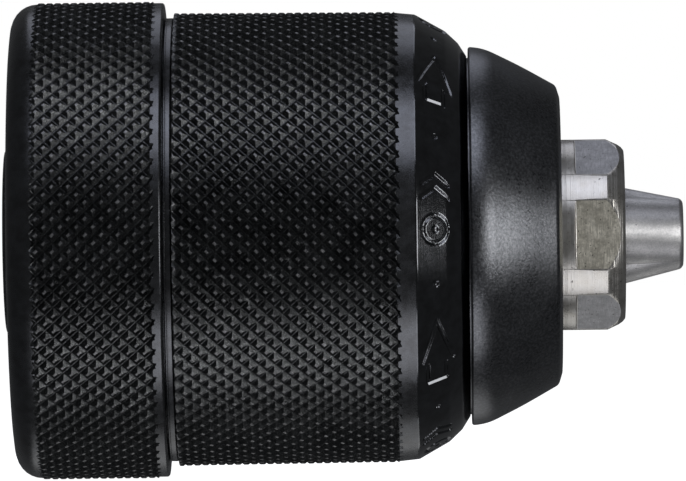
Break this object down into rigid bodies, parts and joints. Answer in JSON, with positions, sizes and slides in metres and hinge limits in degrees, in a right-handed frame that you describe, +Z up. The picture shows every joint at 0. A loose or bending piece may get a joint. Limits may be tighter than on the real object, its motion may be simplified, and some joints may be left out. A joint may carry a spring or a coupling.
{
  "type": "drill chuck",
  "caption": "Keyless drill chuck: two knurled black sleeves, a conical nose cap, a hexagonal steel nose and inclined gripping jaws that the front sleeve opens and closes.",
  "frame": {"origin": "centre of the rear annular face that seats against the drill spindle's shoulder, on the chuck's axis", "axes": "+X along the chuck's axis from the spindle towards the jaw tips, +Z up; one wrench flat of the hexagonal nose faces -Y"},
  "size_m": [0.0717, 0.0502, 0.0502],
  "materials": {
    "black_steel": "blackened steel, semi-gloss, knurled grips with smooth turned bands",
    "satin_black": "satin black coated steel",
    "machined_steel": "bright turned steel with fine tool marks",
    "jaw_steel": "hardened steel, ground satin, blue-grey",
    "bearing_steel": "polished bearing steel",
    "cage_brass": "plain stamped brass"
  },
  "bodies": {
    "body": {"chuck_body": "machined_steel", "rear_sleeve": "black_steel", "guide_ring": "black_steel", "nose_cap": "satin_black", "rear_race": "bearing_steel"},
    "drive": {"front_sleeve": "black_steel", "nut_band": "machined_steel", "nut_half_1": "jaw_steel", "nut_half_2": "jaw_steel", "front_race": "bearing_steel"},
    "bearing": {"ball_cage": "cage_brass", "ball_01": "bearing_steel", "ball_02": "bearing_steel", "ball_03": "bearing_steel", "ball_04": "bearing_steel", "ball_05": "bearing_steel", "ball_06": "bearing_steel", "ball_07": "bearing_steel", "ball_08": "bearing_steel", "ball_09": "bearing_steel", "ball_10": "bearing_steel", "ball_11": "bearing_steel", "ball_12": "bearing_steel", "ball_13": "bearing_steel", "ball_14": "bearing_steel", "ball_15": "bearing_steel", "ball_16": "bearing_steel"},
    "jaw_1": {"jaw_1": "jaw_steel"},
    "jaw_2": {"jaw_2": "jaw_steel"},
    "jaw_3": {"jaw_3": "jaw_steel"}
  },
  "joints": [
    {"name": "sleeve_turn", "type": "hinge", "parent": "body", "child": "drive", "pos_m": [0, 0, 0], "axis": [1, 0, 0], "range_deg": [0, 4410]},
    {"name": "bearing_turn", "type": "hinge", "parent": "body", "child": "bearing", "pos_m": [0, 0, 0], "axis": [1, 0, 0], "range_deg": [0, 2205]},
    {"name": "jaw_1_slide", "type": "slide", "parent": "body", "child": "jaw_1", "axis": [-0.9659, -0.2549, 0.0449], "range_m": [0, 0.0245]},
    {"name": "jaw_2_slide", "type": "slide", "parent": "body", "child": "jaw_2", "axis": [-0.9659, 0.0885, -0.2432], "range_m": [0, 0.0245]},
    {"name": "jaw_3_slide", "type": "slide", "parent": "body", "child": "jaw_3", "axis": [-0.9659, 0.1664, 0.1983], "range_m": [0, 0.0245]}
  ],
  "couplings": [
    {"joint": "bearing_turn", "follows": "sleeve_turn", "ratio": 0.5},
    {"joint": "jaw_1_slide", "follows": "sleeve_turn", "m_per_rad": 0.00031831},
    {"joint": "jaw_2_slide", "follows": "sleeve_turn", "m_per_rad": 0.00031831},
    {"joint": "jaw_3_slide", "follows": "sleeve_turn", "m_per_rad": 0.00031831}
  ]
}
